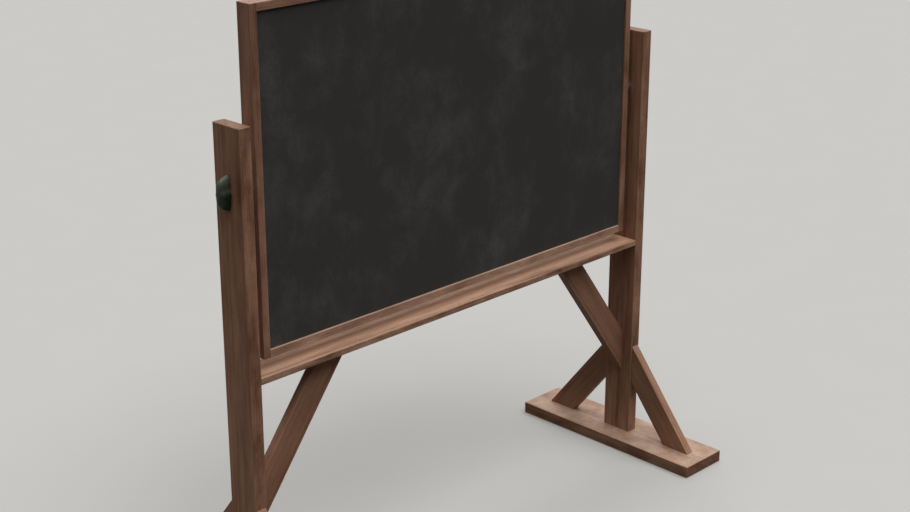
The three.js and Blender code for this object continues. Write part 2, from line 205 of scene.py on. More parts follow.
class WingKnobSettings(bpy.types.PropertyGroup):
    """Moulded wing knob."""

    half_span: length_setting("Half span", "From the axis to a wing's end, at the post", 0.041)
    outer_half_span: length_setting(
        "Outer half span", "From the axis to a wing's end, at the outer face", 0.028)
    wing: length_setting("Half wing", "Half the thickness of a wing at the post", 0.0105)
    outer_wing: length_setting("Outer half wing", "Half the thickness of a wing at the outer face", 0.008)
    hub: length_setting("Hub radius", "Radius of the middle at the post", 0.014)
    outer_hub: length_setting("Outer hub radius", "Radius of the middle at the outer face", 0.0115)
    crown: length_setting("Crown", "Rounding of the outer edge", 0.011)
    colour: colour_setting("Plastic", "Colour of the moulding", "#0A220F")
    # The cover at the upper end is chalk dust and also a painted highlight
    dust: share_setting("Chalk dust", "Cover of dust at the upper end", 0.3)


class WoodScrewSettings(bpy.types.PropertyGroup):
    """Countersunk wood screws under the feet and in the stiles."""

    foot_head: length_setting("Foot screw head", "Head radius", 0.005)
    foot_shank: length_setting("Foot screw thread", "Thread radius", 0.0025)
    frame_head: length_setting("Frame screw head", "Head radius", 0.004)
    frame_shank: length_setting("Frame screw thread", "Thread radius", 0.002)
    pitch: length_setting("Pitch", "From one thread to the next", 0.0026)


class StudioSettings(bpy.types.PropertyGroup):
    """Pale floor, overhead light and camera."""

    floor: colour_setting("Floor", "Colour that the camera sees", "#C4C3C0")
    key: bpy.props.FloatProperty(
        name="Key light", description="Overhead light on level faces, where pi shows a colour as written",
        min=0, default=3.1)
    key_tilt: bpy.props.FloatProperty(
        name="Key tilt", description="How far the key comes from the front",
        subtype="ANGLE", unit="ROTATION", default=math.radians(11.5))
    far_fill: bpy.props.FloatProperty(
        name="Far fill", description="Light from behind on the right, for the faces that the key misses",
        min=0, default=0.9)
    fill: share_setting("Fill light", "Even light from all round", 0.034)
    lens: bpy.props.FloatProperty(
        name="Lens", description="Focal length on a sensor 36 mm wide",
        subtype="DISTANCE_CAMERA", unit="CAMERA", default=65.26)


SETTINGS = {
    "chalkboard_stand": StandTimberSettings,
    "chalkboard_frame": FrameTimberSettings,
    "chalkboard_face": WritingFaceSettings,
    "chalkboard_knob": WingKnobSettings,
    "chalkboard_screw": WoodScrewSettings,
    "chalkboard_studio": StudioSettings,
}


# Timber

# A kind of timber: ring is its ring width and heart the distance to its heart, and from streaks on
# each value is how strongly that pattern shows. Dust also paints a sheen on faces that look up, and
# worn paints a pale band of light along the middle of the shelf.
Timber = namedtuple(
    "Timber", "wood pale dark ring heart roughness streaks blotches fibres ends dust grime worn",
    defaults=(0.56, 0, 0, 0))

TREE_SEED = 11
# Where the heart of the tree lies: degrees round a piece's grain, and metres along the trunk
HEART_TURN = (55, 125)
TRUNK_REACH = 9
# How far along the trunk its bends lie apart, and how far they reach
SWAY_LENGTH = 0.55
SWAY_SIZE = 0.02
# Length along the grain and width across it, of each pattern
STREAK = (0.2, 0.03)
BLOTCH = (0.1, 0.055)
CANAL = (0.009, 0.00045)
# Real fibres are under half a millimetre wide, and these are drawn wider so that they show
FIBRE = (0.045, 0.0017)
BLOTCH_START = (7, 3, 5)
# How dark a resin canal is, and how many more the late wood has
CANAL_DEPTH = 0.55
CANAL_CROWDING = 0.08
# How soon the ring width changes, and by how many rings
RING_CHANGE = 0.6
RING_DRIFT = 1.4
# Middle tone between early and late wood, and share of the ring lines in it
BASE_TONE = 0.33
RING_TONE = 0.28
# How much one piece may be lighter or darker than the next
PIECE_TONE = 0.04
EDGE_REACH = 0.003
# How far the fibres take the roughness below and above its own value
SMOOTHER = 0.07
ROUGHER = 0.09
OILED_GLOSS = 0.15
WORN_GLOSS = 0.04
# The shelf's pale band, painted light under the board, is full within the first distance from the shelf's
# middle, and ends at the second
LIT_BAND_MIDDLE = 0.006
LIT_BAND_EDGE = 0.024
# Drifts in a metre of the chalk dust and painted sheen on faces that look up
DUST_AND_SHEEN_DRIFTS = 23
# Floor dirt thins out between these heights
GRIME_LOW = 0.001
GRIME_HIGH = 0.016


def lay_of_grain(grain):
    """Three axes of a timber: along its grain, across it, and through its thickness."""
    along = Vector(grain).normalized()
    upright = abs(along.z) > 0.95
    through = Vector((1, 0, 0)) if upright else Vector((0, 0, 1))
    through = (through - along * through.dot(along)).normalized()
    return Matrix((along, through.cross(along), through)).transposed()


def grain_noise(tree, vector, patch, detail, start=(0, 0, 0)):
    """A noise in patches of a length along the grain and a width across it."""
    length, width = patch
    drawn = add(tree, "ShaderNodeMapping",
                {"Vector": vector, "Location": start, "Scale": (1 / length, 1 / width, 1 / width)})
    return add(tree, "ShaderNodeTexNoise", {"Vector": drawn, "Scale": 1, **detail})


def bent_log(tree, point, axes, heart, distance):
    """A point's place in the tree that the piece was cut from, along and across a slowly bent trunk."""
    log = add(tree, "ShaderNodeMapping",
              {"Vector": point, "Location": heart, "Rotation": axes.to_euler()}, vector_type="TEXTURE")
    sway = grain_noise(tree, log, (SWAY_LENGTH, distance), {"Detail": 2})
    centred = add(tree, "ShaderNodeVectorMath",
                  {0: sway.outputs["Color"], 1: (0.5, 0.5, 0.5)}, operation="SUBTRACT")
    moved = add(tree, "ShaderNodeVectorMath", {0: centred, "Scale": SWAY_SIZE}, operation="SCALE")
    return add(tree, "ShaderNodeVectorMath", {0: log, 1: moved}, operation="ADD")


def ring_lines(tree, bent, ring):
    """Lines of late wood in yearly rings, each with its own width and darkness."""
    across = add(tree, "ShaderNodeVectorMath", {0: bent, 1: (0, 1, 1)}, operation="MULTIPLY")
    radius = add(tree, "ShaderNodeVectorMath", {0: across}, operation="LENGTH")
    years = add(tree, "ShaderNodeTexNoise",
                {"W": radius, "Scale": RING_CHANGE / ring, "Detail": 1}, noise_dimensions="1D")
    count = add(tree, "ShaderNodeMath", {0: radius, 1: ring}, operation="DIVIDE")
    uneven = add(tree, "ShaderNodeMath", {0: years, 1: RING_DRIFT, 2: count}, operation="MULTIPLY_ADD")
    year = add(tree, "ShaderNodeMath", {0: uneven}, operation="FRACT")
    late = add(tree, "ShaderNodeMapRange", {"Value": year, "From Min": 0.3, "From Max": 0.95}, **SMOOTH)
    strength = add(tree, "ShaderNodeMapRange", {"Value": years, **NOISE, "To Min": 0.2, "To Max": 0.8})
    return add(tree, "ShaderNodeMath", {0: late, 1: strength}, operation="MULTIPLY")


def signs_of_use(tree, kind, where, streak):
    """Layers over the wood, each with its share and its colour: marks of use, chalk dust with a painted
    sheen on faces that look up, and a band of painted light on the shelf.
    """
    spot = add(tree, "ShaderNodeSeparateXYZ", {"Vector": where["Object"]}).outputs
    facing = add(tree, "ShaderNodeSeparateXYZ", {"Vector": where["Normal"]}).outputs

    # Edges rubbed by hands
    rubbed = add(tree, "ShaderNodeMath", {
        0: rubbed_edges(tree, EDGE_REACH, flat=0.995, sharp=0.85, amount=0.5), 1: streak,
    }, operation="MULTIPLY")
    layers = [(rubbed, "#D6B7A2")]

    # A pale band along the middle of the shelf, under the board: painted light that brightens the shade
    # the board casts there
    if kind.worn:
        aside = add(tree, "ShaderNodeMath", {0: spot["Y"]}, operation="ABSOLUTE")
        shelf_light_band = add(tree, "ShaderNodeMapRange", {
            "Value": aside, "From Min": LIT_BAND_EDGE, "From Max": LIT_BAND_MIDDLE, "To Max": kind.worn,
        }, **SMOOTH)
        bare = add(tree, "ShaderNodeMath", {0: shelf_light_band, 1: facing["Z"]}, operation="MULTIPLY")
        layers.append((bare, "#E8B892"))

    # Chalk dust on faces that look up, in thin drifts, which is also a painted sheen that lightens these
    # faces
    if kind.dust:
        drift = add(tree, "ShaderNodeTexNoise",
                    {"Vector": where["Object"], "Scale": DUST_AND_SHEEN_DRIFTS, "Detail": 6, "Roughness": 0.7})
        level = add(tree, "ShaderNodeMath", {0: facing["Z"], 1: drift}, operation="MULTIPLY")
        dust = add(tree, "ShaderNodeMapRange",
                   {"Value": level, "From Min": 0.25, "From Max": 0.65, "To Max": kind.dust * 2})
        layers.append((dust, "#DCC6B2"))

    # Floor dirt in the lowest centimetre
    if kind.grime:
        low = add(tree, "ShaderNodeMapRange", {
            "Value": spot["Z"], "From Min": GRIME_HIGH, "From Max": GRIME_LOW, "To Max": kind.grime,
        })
        dirt = add(tree, "ShaderNodeMath", {0: low, 1: streak}, operation="MULTIPLY")
        layers.append((dirt, "#4A3B32"))
    return layers


def timber_material(name, kind, grain, middle, luck):
    """Solid timber whose rings lie round the heart of its own tree, so faces and ends agree.

    Brown oil on planed pine gives the eye long streaks along the piece, dark late-wood lines that widen
    where the saw ran flat to the rings, arcs on the ends, a darker end grain, and edges rubbed a little
    paler. Bare pine and beech have the same, with weaker streaks.
    """
    material, tree, where = new_material(name)
    axes = lay_of_grain(grain)
    turn = math.radians(luck.uniform(*HEART_TURN)) * luck.choice((-1, 1))
    along = luck.uniform(-TRUNK_REACH, TRUNK_REACH)
    heart = axes @ Vector((along, kind.heart * math.cos(turn), kind.heart * math.sin(turn)))
    bent = bent_log(tree, where["Object"], axes, middle + heart, kind.heart)
    lines = ring_lines(tree, bent, kind.ring)

    # Wide streaks of tone, and fine fibres
    detail = {"Detail": 4, "Roughness": 0.6}
    streak = grain_noise(tree, bent, STREAK, detail)
    fibre = grain_noise(tree, bent, FIBRE, detail)

    # Resin canals, cut lengthwise into short dark dashes, and thickest in the late wood
    grooves = grain_noise(tree, bent, CANAL, {"Detail": 1})
    crowd = add(
        tree, "ShaderNodeMath", {0: lines, 1: CANAL_CROWDING, 2: grooves}, operation="MULTIPLY_ADD")
    canal = add(tree, "ShaderNodeMapRange",
                {"Value": crowd, "From Min": 0.6, "From Max": 0.72, "To Max": CANAL_DEPTH}, **SMOOTH)

    # The narrow edges took the oil unevenly
    sideways = add(
        tree, "ShaderNodeVectorMath", {0: where["Normal"], 1: axes.col[1]}, operation="DOT_PRODUCT")
    narrow = add(tree, "ShaderNodeMath", {0: sideways}, operation="ABSOLUTE")
    reach = add(tree, "ShaderNodeMath", {0: narrow, 1: kind.blotches}, operation="MULTIPLY")
    blotch = grain_noise(tree, bent, BLOTCH, detail, BLOTCH_START)
    off = add(tree, "ShaderNodeMath", {0: blotch, 1: 0.5}, operation="SUBTRACT")

    # The tone adds up from all of these, and runs from early wood to late wood
    tone = BASE_TONE - kind.streaks / 2 - kind.fibres / 2
    parts = ((lines, RING_TONE), (streak, kind.streaks), (off, reach), (fibre, kind.fibres))
    for pattern, amount in parts:
        tone = add(tree, "ShaderNodeMath", {0: pattern, 1: amount, 2: tone}, operation="MULTIPLY_ADD")
    own = 1 + luck.uniform(-PIECE_TONE, PIECE_TONE)
    pale, dark = ([level * own for level in tint[:3]] + [1] for tint in (kind.pale, kind.dark))
    colour = add(tree, "ShaderNodeMix", {FACTOR: tone, FIRST: pale, SECOND: dark}, data_type="RGBA")

    # End grain soaks up more oil
    endways = add(
        tree, "ShaderNodeVectorMath", {0: where["Normal"], 1: axes.col[0]}, operation="DOT_PRODUCT")
    size = add(tree, "ShaderNodeMath", {0: endways}, operation="ABSOLUTE")
    end = add(tree, "ShaderNodeMapRange",
              {"Value": size, "From Min": 0.7, "From Max": 0.95, "To Max": kind.ends})

    layers = [("MIX", canal, dark), ("MULTIPLY", end, shade("#BBA898"))]
    layers += [("MIX", share, shade(code)) for share, code in signs_of_use(tree, kind, where, streak)]
    for blend, share, tint in layers:
        colour = add(tree, "ShaderNodeMix",
                     {FACTOR: share, FIRST: colour, SECOND: tint}, data_type="RGBA", blend_type=blend)

    sheen = add(tree, "ShaderNodeMapRange", {
        "Value": fibre, **NOISE, "To Min": kind.roughness - SMOOTHER, "To Max": kind.roughness + ROUGHER,
    })
    relief = add(tree, "ShaderNodeMath", {0: lines, 1: 0.5, 2: fibre}, operation="MULTIPLY_ADD")
    relief = add(tree, "ShaderNodeMath", {0: relief, 1: canal}, operation="SUBTRACT")
    gloss = WORN_GLOSS if kind.worn else OILED_GLOSS
    give_surface(tree, {
        "Base Color": colour, "Roughness": sheen, "IOR": 1.5, "Specular IOR Level": gloss,
    }, relief, strength=0.3, depth=0.0004)
    return material


def cut_timber(name, kind, luck, lean=None):
    """Gives one frame node a material of its own tree, whose grain follows the piece's longest side.

    In a brace it follows the line between the tips, whose lean is a sign or nothing for each axis.
    """
    low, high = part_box(name)
    span = high - low
    grain = Vector(lean) * span if lean else [int(length == max(span)) for length in span]
    dress([name], timber_material(f"{kind.wood}_{name}", kind, grain, (low + high) / 2, luck))


class CHALKBOARD_OT_stand_timber(bpy.types.Operator):
    """Oiled, planed pine for the feet, posts, braces and chalk shelf."""

    bl_idname = "chalkboard.stand_timber"
    bl_label = "Stand Timber"

    def execute(self, context):
        own = context.scene.chalkboard_stand
        luck = random.Random(TREE_SEED)
        # The dust on the tops is chalk dust and also a painted sheen, strongest on the feet
        plain = Timber(
            wood="oiled_planed_pine", pale=own.pale, dark=own.dark, ring=own.ring, heart=own.heart,
            roughness=own.roughness, streaks=1.5, blotches=2.0, fibres=0.35, dust=0.12)
        even = plain._replace(streaks=1.0, blotches=0.3)
        for side in SIDES:
            inwards = (-OUTWARDS[side], 0, 1)
            cut_timber(side + "_foot", plain._replace(dust=0.24, grime=0.15), luck)
            cut_timber(side + "_post", plain._replace(ends=0.8, dust=0.04), luck)
            for name, lean in (("front", (0, 1, 1)), ("back", (0, -1, 1)), ("knee", inwards)):
                cut_timber(f"{side}_{name}_brace", even, luck, lean)
        # The shelf's paler wood and its pale band under the board are painted light, and the shelf is
        # given less gloss
        cut_timber("chalk_shelf", plain._replace(pale=own.shelf, dust=0.03, worn=0.8), luck)
        return {"FINISHED"}


class CHALKBOARD_OT_frame_timber(bpy.types.Operator):
    """Oiled, planed pine for the board's stiles and rails."""

    bl_idname = "chalkboard.frame_timber"
    bl_label = "Frame Timber"

    def execute(self, context):
        own = context.scene.chalkboard_frame
        luck = random.Random(TREE_SEED + 1)
        # The dust on the frame's upper faces is chalk dust and also a painted sheen
        plain = Timber(
            wood="oiled_planed_pine", pale=own.pale, dark=own.dark, ring=own.ring, heart=own.heart,
            roughness=own.roughness, streaks=1.4, blotches=1.6, fibres=0.35, dust=0.1)
        for name in ("left_stile", "right_stile"):
            cut_timber(name, plain, luck)
        cut_timber("top_rail", plain._replace(dust=0), luck)
        # Chalk dust falls down the faces onto the bottom rail, and its paler colour is also painted light
        # for the light that the shelf throws up onto it
        cut_timber("bottom_rail", plain._replace(pale=own.dusty_lit_pale, dark=own.dusty_lit_dark), luck)
        return {"FINISHED"}


class CHALKBOARD_OT_hidden_timber(bpy.types.Operator):
    """Bare pine for the battens inside the board, and beech for the dowels."""

    bl_idname = "chalkboard.hidden_timber"
    bl_label = "Core Battens and Dowels"

    def execute(self, context):
        luck = random.Random(TREE_SEED + 2)
        # Fine-sawn pine, unfinished: pale, with wide rings and a dull surface
        pine = Timber(
            wood="bare_sawn_pine", pale=shade("#DDC096"), dark=shade("#B98A55"), ring=0.0045, heart=0.06,
            roughness=0.75, streaks=0.5, blotches=0, fibres=0.45)
        for name in ("top_batten", "bottom_batten", "middle_rail", "left_batten", "right_batten"):
            cut_timber("core_" + name, pine, luck)
        # Turned beech: even and pale, with close rings and short flecks
        beech = Timber(
            wood="turned_beech", pale=shade("#D2A981"), dark=shade("#B58657"), ring=0.0022, heart=0.05,
            roughness=0.6, streaks=0.4, blotches=0, fibres=0.6)
        for name in sorted(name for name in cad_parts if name.endswith("_dowel")):
            cut_timber(name, beech, luck)
        return {"FINISHED"}


# Writing faces

# The board's thickness is stretched, so that its two faces differ
FACE_STRETCH = 40
# Points in a metre: the tooth of the paint is about 0.3 mm, and is drawn 4 mm wide so that it shows
TOOTH = 240


def slate_paint(own):
    """Chalkboard paint, rolled over plywood: dull and dark, with a fine tooth that holds chalk.

    The eye sees cloudy grey patches where chalk was rubbed in, drawn out up and down by the eraser,
    and a fine speckle where the tooth kept some of it.
    """
    material, tree, where = new_material("rolled_slate_paint")
    faces = add(tree, "ShaderNodeMapping", {"Vector": where["Object"], "Scale": (1, FACE_STRETCH, 1)})
    # Where the writing was: clusters about three patches wide
    cluster = add(tree, "ShaderNodeTexNoise",
                  {"Vector": faces, "Scale": 1 / (3 * own.cloud), "Detail": 3, "Roughness": 0.5})
    # Patches of rubbed chalk, a little longer up and down than across
    drawn = add(tree, "ShaderNodeMapping", {
        "Vector": faces, "Location": (3, 0, 5), "Scale": (1.15 / own.cloud, 1, 0.85 / own.cloud),
    })
    wipe = add(tree, "ShaderNodeTexNoise",
               {"Vector": drawn, "Scale": 1, "Detail": 7, "Roughness": 0.72, "Distortion": 0.25})
    speckle = add(
        tree, "ShaderNodeTexNoise", {"Vector": faces, "Scale": TOOTH, "Detail": 2, "Roughness": 0.7})
    both = add(tree, "ShaderNodeMath", {0: cluster, 1: wipe}, operation="ADD")
    patch = add(tree, "ShaderNodeMapRange",
                {"Value": both, "From Min": 0.9, "From Max": 1.4, "To Max": own.haze_share}, **SMOOTH)
    grip = add(tree, "ShaderNodeMapRange", {"Value": speckle, **NOISE, "To Min": 0.55, "To Max": 1.45})
    haze = add(tree, "ShaderNodeMath", {0: patch, 1: grip}, operation="MULTIPLY")
    colour = add(
        tree, "ShaderNodeMix", {FACTOR: haze, FIRST: own.paint, SECOND: own.haze}, data_type="RGBA")
    dull = add(tree, "ShaderNodeMapRange",
               {"Value": haze, "From Max": own.haze_share, "To Min": 0.82, "To Max": 0.95})
    give_surface(tree, {
        "Base Color": colour, "Roughness": dull, "IOR": 1.5, "Specular IOR Level": 0.15,
    }, speckle, strength=0.25, depth=0.0003)
    return material


class CHALKBOARD_OT_writing_faces(bpy.types.Operator):
    """Slate paint with a chalk haze for both writing sheets."""

    bl_idname = "chalkboard.writing_faces"
    bl_label = "Writing Faces"

    def execute(self, context):
        sheets = ("front_writing_sheet", "back_writing_sheet")
        dress(sheets, slate_paint(context.scene.chalkboard_face))
        return {"FINISHED"}


# Metal and plastic

# Patches, marks and ripples in a metre
ZINC_PATCHES = 260
BRASS_PATCHES = 330
FINGER_MARKS = 75
MOULD_RIPPLES = 150
# Turning lines run round the axis, 0.4 mm apart
TURNING_LINES = (2500, 200, 200)
KNOB_EDGE_REACH = 0.0012
# How far below the pivot the chalk dust and painted highlight begin
DUST_AND_HIGHLIGHT_START = 0.018


def zinc_material(name, fresh, worn, smooth, rough):
    """Zinc on turned steel: a soft grey shine with fine turning lines and cloudy patches."""
    material, tree, where = new_material(name)
    cloud = add(
        tree, "ShaderNodeTexNoise", {"Vector": where["Object"], "Scale": ZINC_PATCHES, "Detail": 3})
    colour = add(tree, "ShaderNodeMix",
                 {FACTOR: cloud, FIRST: shade(fresh), SECOND: shade(worn)}, data_type="RGBA")
    lines = add(tree, "ShaderNodeMapping", {"Vector": where["Object"], "Scale": TURNING_LINES})
    turned = add(tree, "ShaderNodeTexNoise", {"Vector": lines, "Scale": 1, "Detail": 1})
    matt = add(tree, "ShaderNodeMapRange", {"Value": cloud, **NOISE, "To Min": smooth, "To Max": rough})
    give_surface(tree, {
        "Base Color": colour, "Metallic": 1, "Roughness": matt,
    }, turned, strength=0.15, depth=0.0001)
    return material


def brass_material():
    """Machined brass of the knobs' threaded inserts: warm yellow, lightly tarnished in patches."""
    material, tree, where = new_material("machined_brass")
    tarnish = add(
        tree, "ShaderNodeTexNoise", {"Vector": where["Object"], "Scale": BRASS_PATCHES, "Detail": 4})
    colour = add(tree, "ShaderNodeMix",
                 {FACTOR: tarnish, FIRST: shade("#D8B56C"), SECOND: shade("#A07E45")}, data_type="RGBA")
    matt = add(tree, "ShaderNodeMapRange", {"Value": tarnish, "To Min": 0.25, "To Max": 0.5})
    give_surface(tree, {"Base Color": colour, "Metallic": 1, "Roughness": matt})
    return material


def plastic_material(own, pivot):
    """Moulded phenolic plastic: near black with a green cast, a soft shine, and a ripple from the mould.

    Finger marks make patches of it duller, its edges are rubbed a little grey, and its upper end is paled
    by chalk dust and a painted highlight.
    """
    material, tree, where = new_material("moulded_phenolic")
    ripple = add(
        tree, "ShaderNodeTexNoise", {"Vector": where["Object"], "Scale": MOULD_RIPPLES, "Detail": 1})
    marks = add(tree, "ShaderNodeTexNoise",
                {"Vector": where["Object"], "Scale": FINGER_MARKS, "Detail": 5, "Roughness": 0.7})
    matt = add(tree, "ShaderNodeMapRange",
               {"Value": marks, "From Min": 0.35, "From Max": 0.65, "To Min": 0.32, "To Max": 0.48})
    rubbed = add(tree, "ShaderNodeMath", {
        0: rubbed_edges(tree, KNOB_EDGE_REACH, flat=0.99, sharp=0.9, amount=0.35), 1: marks,
    }, operation="MULTIPLY")

    # A pale coat on the upper half, thinner where the surface looks down: chalk dust, and a painted
    # highlight from the lamp above
    spot = add(tree, "ShaderNodeSeparateXYZ", {"Vector": where["Object"]}).outputs
    facing = add(tree, "ShaderNodeSeparateXYZ", {"Vector": where["Normal"]}).outputs
    height = add(tree, "ShaderNodeMapRange", {
        "Value": spot["Z"], "From Min": pivot - DUST_AND_HIGHLIGHT_START, "From Max": pivot + own.half_span,
        "To Max": own.dust,
    }, **SMOOTH)
    upward = add(tree, "ShaderNodeMath", {0: facing["Z"], 1: 0.35, 2: marks}, operation="MULTIPLY_ADD")
    dust_and_highlight = add(tree, "ShaderNodeMath", {0: height, 1: upward}, operation="MULTIPLY")

    colour = own.colour
    for share, code in ((rubbed, "#46504A"), (dust_and_highlight, "#B9B6AC")):
        colour = add(
            tree, "ShaderNodeMix", {FACTOR: share, FIRST: colour, SECOND: shade(code)}, data_type="RGBA")
    give_surface(tree, {
        "Base Color": colour, "Roughness": matt, "IOR": 1.55, "Specular IOR Level": 0.2,
    }, ripple, strength=0.12, depth=0.0003)
    return material


# Turned and moulded parts

SHARP_ANGLE = math.radians(38)
TURNED_SIDES = 72
KNOB_SIDES = 96
SLEEVE_BORE = 0.00505
SLEEVE_CHAMFER = 0.0006
WASHER_BORE = 0.0055
WASHER_CHAMFER = 0.0004


def lofted(name, rings, material, closed):
    """A closed mesh through rings of points, where a ring of one point is a pole."""
    shell = bmesh.new()
    rows = [[shell.verts.new(point) for point in ring] for ring in rings]
    following = rows[1:] + rows[:1] if closed else rows[1:]
    for low, high in zip(rows, following):
        count = max(len(low), len(high))
        for place in range(count):
            after = (place + 1) % count
            corners = (
                low[place % len(low)], low[after % len(low)],
                high[after % len(high)], high[place % len(high)],
            )
            shell.faces.new(list(dict.fromkeys(corners)))
    bmesh.ops.recalc_face_normals(shell, faces=shell.faces)
    mesh = bpy.data.meshes.new(name)
    shell.to_mesh(mesh)
    shell.free()
    mesh.polygons.foreach_set("use_smooth", [True] * len(mesh.polygons))
    mesh.set_sharp_from_angle(angle=SHARP_ANGLE)
    mesh.materials.append(material)
    return new_object(name, mesh)


def turns(sides):
    """Angles of even steps round an axis."""
    return [2 * math.pi * step / sides for step in range(sides)]


def circle(radius, sides=KNOB_SIDES):
    """Points round a circle, as pairs."""
    return [(radius * math.cos(angle), radius * math.sin(angle)) for angle in turns(sides)]


def turned_ring(name, node, bore, chamfer, material):
    """A ring turned on the pivot axis to the size of a frame node, with its corners broken."""
    low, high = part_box(node)
    middle = (low + high) / 2
    radius = (high.z - low.z) / 2
    profile = [
        (low.x, bore), (low.x, radius - chamfer), (low.x + chamfer, radius),
        (high.x - chamfer, radius), (high.x, radius - chamfer), (high.x, bore),
    ]
    rings = [
        [(x, middle.y + aside, middle.z + up) for aside, up in circle(reach, TURNED_SIDES)]
        for x, reach in profile
    ]
    return lofted(name, rings, material, closed=True)


class CHALKBOARD_OT_pivot_hardware(bpy.types.Operator):
    """Zinc spacer sleeves and post washers on the pivot axis, with zinc for the bolts behind them."""

    bl_idname = "chalkboard.pivot_hardware"
    bl_label = "Pivot Hardware"

    def execute(self, context):
        zinc = zinc_material(
            "zinc_plated_turned_steel", fresh="#D2D4D3", worn="#A3A7AA", smooth=0.26, rough=0.44)
        for side in SIDES:
            sleeve = turned_ring(
                side + "_sleeve", side + "_spacer_sleeve", SLEEVE_BORE, SLEEVE_CHAMFER, zinc)
            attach(sleeve, "board")
            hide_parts(side + "_spacer_sleeve")
            washer = turned_ring(
                side + "_outer_washer", side + "_post_washer", WASHER_BORE, WASHER_CHAMFER, zinc)
            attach(washer, "stand")
            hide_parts(side + "_post_washer")
            dress([side + "_pivot_bolt", side + "_bolt_washer"], zinc)
        return {"FINISHED"}


KNOB_TAPER_STEPS = 6
KNOB_CROWN_STEPS = 10
# The crown draws in the wings' sides less than their ends, and the hub until it is as thin as the wings
WING_CROWN = 0.36
HUB_CROWN = 0.7
KNOB_BASE_CHAMFER = 0.0008
# The chamfer is broken once more, this share of it from both of its faces
KNOB_BASE_BREAK = 0.3
# How squarely a wing ends
WING_SQUARENESS = 4
# How closely the hub keeps to its circle where it runs into the wings
HUB_FLOW = 8
INSERT_RADIUS = 0.008
INSERT_DEPTH = 0.016
BOLT_RADIUS = 0.0051
BOLT_REACH = 0.0175
DISH_RADIUS = 0.0026
DISH_DEPTH = 0.0004


def knob_outline(half_span, wing, hub):
    """Points round a section of the knob, as pairs of height along the wings and distance across them."""
    points = []
    for step, angle in enumerate(turns(KNOB_SIDES)):
        up = half_span * math.cos(angle)
        blade = wing * math.sqrt(max(0, 1 - (up / half_span) ** WING_SQUARENESS))
        boss = math.sqrt(max(0, hub ** 2 - up ** 2))
        across = (blade ** HUB_FLOW + boss ** HUB_FLOW) ** (1 / HUB_FLOW)
        points.append((up, math.copysign(across, math.sin(angle)) if step % (KNOB_SIDES // 2) else 0))
    return points


def knob_stations(own, depth):
    """Height above the base and inset of each section of the outer skin, from the post outwards."""
    shoulder = depth - own.crown
    edge = KNOB_BASE_CHAMFER
    stations = [(0, edge), (edge * KNOB_BASE_BREAK, edge * KNOB_BASE_BREAK), (edge, 0)]
    for step in range(1, KNOB_TAPER_STEPS + 1):
        share = step / KNOB_TAPER_STEPS
        stations.append((edge + share * (shoulder - edge), 0))
    for step in range(1, KNOB_CROWN_STEPS + 1):
        angle = math.pi / 2 * step / KNOB_CROWN_STEPS
        stations.append((shoulder + own.crown * math.sin(angle), own.crown * (1 - math.cos(angle))))
    return stations


def wing_knob(side, own, material):
    """One moulding: a blind bore with a seat for the insert, a tapered skin, and a dished outer face."""
    low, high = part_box(side + "_knob_grip")
    depth = high.x - low.x
    sign = OUTWARDS[side]
    base = low.x if sign > 0 else high.x
    pivot = (low.z + high.z) / 2
    sections = [
        (BOLT_REACH, [(0, 0)]),
        (BOLT_REACH, circle(BOLT_RADIUS)),
        (INSERT_DEPTH, circle(BOLT_RADIUS)),
        (INSERT_DEPTH, circle(INSERT_RADIUS)),
        (0, circle(INSERT_RADIUS)),
    ]
    for height, inset in knob_stations(own, depth):
        share = height / depth
        half_span = own.half_span + share * (own.outer_half_span - own.half_span) - inset
        wing = own.wing + share * (own.outer_wing - own.wing) - inset * WING_CROWN
        hub = own.hub + share * (own.outer_hub - own.hub) - inset * HUB_CROWN
        sections.append((height, knob_outline(half_span, wing, hub)))
    sections += [
        (depth, circle(DISH_RADIUS)),
        (depth - DISH_DEPTH, circle(DISH_RADIUS - DISH_DEPTH)),
        (depth - DISH_DEPTH, [(0, 0)]),
    ]
    rings = [
        [(base + sign * height, across, pivot + up) for up, across in outline]
        for height, outline in sections
    ]
    return lofted(side + "_wing_knob", rings, material, closed=False)


class CHALKBOARD_OT_wing_knobs(bpy.types.Operator):
    """Dark wing knobs outside the posts, with brass inserts."""

    bl_idname = "chalkboard.wing_knobs"
    bl_label = "Wing Knobs"

    def execute(self, context):
        own = context.scene.chalkboard_knob
        low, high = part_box("left_knob_grip")
        plastic = plastic_material(own, (low.z + high.z) / 2)
        brass = brass_material()
        for side in SIDES:
            knob = wing_knob(side, own, plastic)
            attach(knob, side + "_knob")
            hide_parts(side + "_knob_grip")
            dress([side + "_knob_insert"], brass)
        return {"FINISHED"}


# Wood screws, repeated by a node tree

SCREW_INPUTS = {
    "Float": ("Head Radius", "Head Height", "Thread Radius", "Core Radius", "Length", "Pitch"),
    "Int": ("Threads", "Seed"),
    "Material": ("Material",),
}
SCREW_SIDES = 24
THREAD_SIDES = 14
BLADE_SIDES = 4
SCREW_SEED = 5
POINT_RADIUS = 0.0001
# Shares of the thread's radius
CORE_RADIUS = 0.68
POINT_LENGTH = 3
# Shares of the pitch, of the core's radius and of the screw's length
COLLAR_HEIGHT = 0.45
COLLAR_FOOT = 0.9
THREADED_LENGTH = 0.6
# Shares of the head's radius, of its height and of a blade's width
BLADE_RADIUS = 0.62
BLADE_FOOT = 0.12
BLADE_DEPTH = 0.85
BLADE_THINNESS = 0.27


def screw_cone(tree, sides, top, bottom, depth, low=0):
    """A cone or rod round the axis of a screw, from a height on the axis upwards."""
    place = add(tree, "ShaderNodeCombineXYZ", {"Z": low})
    cone = add(tree, "GeometryNodeMeshCone",
               {"Vertices": sides, "Radius Top": top, "Radius Bottom": bottom, "Depth": depth})
    return add(tree, "GeometryNodeTransform", {"Geometry": cone, "Translation": place})


def joined(tree, parts):
    """One solid from several that overlap."""
    whole = add(tree, "GeometryNodeMeshBoolean", operation="UNION", solver="MANIFOLD")
    for part in parts:
        tree.links.new(part.outputs["Geometry"], whole.inputs["Mesh 2"])
    return whole


